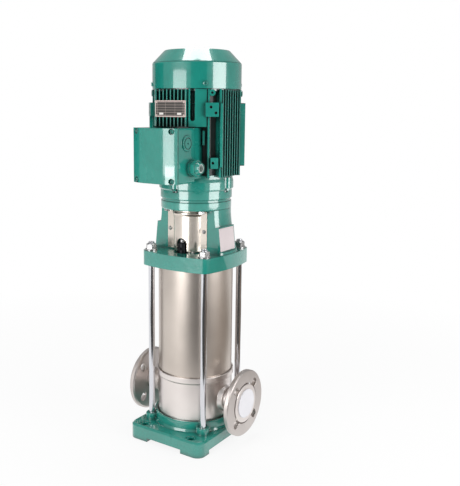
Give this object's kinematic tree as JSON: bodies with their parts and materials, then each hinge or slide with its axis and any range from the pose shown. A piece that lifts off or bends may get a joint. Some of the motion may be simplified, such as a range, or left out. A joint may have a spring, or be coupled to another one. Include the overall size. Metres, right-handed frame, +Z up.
{
  "type": "vertical multistage pump",
  "caption": "Vertical multistage pump with a stainless sleeve between tie rods, in-line ports with loose flanges, a cast stool and a finned fan-cooled motor.",
  "frame": {"origin": "on the shaft axis, level with the undersides of the feet", "axes": "+Z up the shaft, +X to the discharge port, -Y to the terminal box"},
  "size_m": [0.285, 0.282, 0.875],
  "materials": {
    "teal_paint": "gloss",
    "stainless": "brushed",
    "bright_steel": "polished",
    "cap_plastic": "satin",
    "black_rubber": "matte",
    "black_plastic": "matte",
    "grey_metal": "matte",
    "bush_ceramic": "satin",
    "dark_screws": "satin",
    "copper": "satin",
    "bare_plate": "satin"
  },
  "bodies": {
    "pump": {"base_plate": "teal_paint", "pump_housing": "stainless", "sleeve_seals": "black_rubber", "sleeve": "stainless", "pump_head": "stainless", "motor_stool": "teal_paint", "tie_rods": "bright_steel", "rod_washers": "bright_steel", "rod_nuts": "bright_steel", "vent_plug": "black_plastic", "shaft_bush": "bush_ceramic", "chamber_1": "stainless", "chamber_2": "stainless", "chamber_3": "stainless", "chamber_4": "stainless", "chamber_5": "stainless", "stack_clamp": "stainless", "seal_seat": "bush_ceramic", "coupling_guard_front": "stainless", "coupling_guard_back": "stainless", "guard_screws": "bright_steel", "pump_plate": "bare_plate", "flange_bolts": "bright_steel", "drive_end_shield": "teal_paint", "drive_end_bearing": "bright_steel", "stator_housing": "teal_paint", "stator_core": "grey_metal", "windings": "copper", "fan_end_shield": "teal_paint", "fan_end_bearing": "bright_steel", "fan_cowl": "teal_paint", "cowl_screws": "teal_paint", "shield_screws": "teal_paint", "terminal_box": "teal_paint", "terminal_gasket": "black_rubber", "terminal_cover": "teal_paint", "cover_screws": "teal_paint", "terminal_block": "black_plastic", "cable_gland": "teal_paint", "blanking_plug": "teal_paint", "motor_plate": "bare_plate"},
    "rotor": {"motor_shaft": "bright_steel", "rotor_core": "grey_metal", "cooling_fan": "black_plastic", "coupling_half_front": "grey_metal", "coupling_half_back": "grey_metal", "coupling_screws": "dark_screws", "pump_shaft": "bright_steel", "seal_ring": "grey_metal", "impeller_1": "stainless", "impeller_2": "stainless", "impeller_3": "stainless", "impeller_4": "stainless", "impeller_5": "stainless", "impeller_nut": "bright_steel"},
    "suction_flange_body": {"suction_flange": "bright_steel"},
    "discharge_flange_body": {"discharge_flange": "bright_steel"},
    "suction_cap_body": {"suction_cap": "cap_plastic"},
    "discharge_cap_body": {"discharge_cap": "cap_plastic"},
    "vent_screw_body": {"vent_screw": "bright_steel"}
  },
  "joints": [
    {"name": "rotor_spin", "type": "hinge", "parent": "pump", "child": "rotor", "pos_m": [0, 0, 0.6], "axis": [0, 0, 1], "continuous": true},
    {"name": "suction_flange_turn", "type": "hinge", "parent": "pump", "child": "suction_flange_body", "pos_m": [-0.132, 0, 0.098], "axis": [1, 0, 0], "continuous": true},
    {"name": "discharge_flange_turn", "type": "hinge", "parent": "pump", "child": "discharge_flange_body", "pos_m": [0.132, 0, 0.098], "axis": [1, 0, 0], "continuous": true},
    {"name": "suction_cap_pull", "type": "slide", "parent": "pump", "child": "suction_cap_body", "axis": [-1, 0, 0], "range_m": [0, 0.04]},
    {"name": "discharge_cap_pull", "type": "slide", "parent": "pump", "child": "discharge_cap_body", "axis": [1, 0, 0], "range_m": [0, 0.04]},
    {"name": "vent_screw_turn", "type": "hinge", "parent": "pump", "child": "vent_screw_body", "pos_m": [0, -0.052, 0.46], "axis": [0, 0, 1], "range_deg": [0, 360]}
  ]
}
